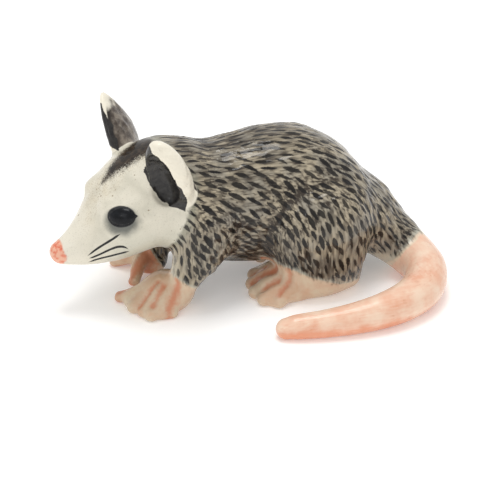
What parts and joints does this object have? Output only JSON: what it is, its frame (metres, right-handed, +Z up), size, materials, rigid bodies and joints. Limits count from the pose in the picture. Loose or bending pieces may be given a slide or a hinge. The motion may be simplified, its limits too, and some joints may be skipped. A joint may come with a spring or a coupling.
{
  "type": "porcelain opossum figurine",
  "caption": "Hand-painted glazed porcelain opossum figurine, standing on all fours with a bare pink tail curled forward along its left side.",
  "frame": {"origin": "middle of the outline seen from above, on the floor that the feet and the tail stand on", "axes": "+X from the nose towards the rump, +Y towards the animal's right side, +Z up"},
  "size_m": [0.0554, 0.0348, 0.0277],
  "materials": {
    "cream_glaze": "cream white under clear gloss glaze",
    "nose_glaze": "orange pink under clear gloss glaze",
    "eye_glaze": "gloss black",
    "ear_glaze": "black brown and cream under clear gloss glaze",
    "fur_glaze": "grey beige with painted black hair strokes under clear gloss glaze",
    "skin_glaze": "peach pink with orange strokes under clear gloss glaze"
  },
  "bodies": {
    "root": {"head": "cream_glaze", "nose": "nose_glaze", "eye_left": "eye_glaze", "eye_right": "eye_glaze", "ear_left": "ear_glaze", "ear_right": "ear_glaze", "neck": "fur_glaze", "trunk": "fur_glaze", "foreleg_left": "fur_glaze", "foreleg_right": "fur_glaze", "hindleg_left": "fur_glaze", "hindleg_right": "fur_glaze", "forefoot_left": "skin_glaze", "forefoot_right": "skin_glaze", "hindfoot_left": "skin_glaze", "hindfoot_right": "skin_glaze", "tail_root": "skin_glaze", "tail_bend": "skin_glaze", "tail_middle": "skin_glaze", "tail_tip": "skin_glaze"}
  },
  "joints": []
}
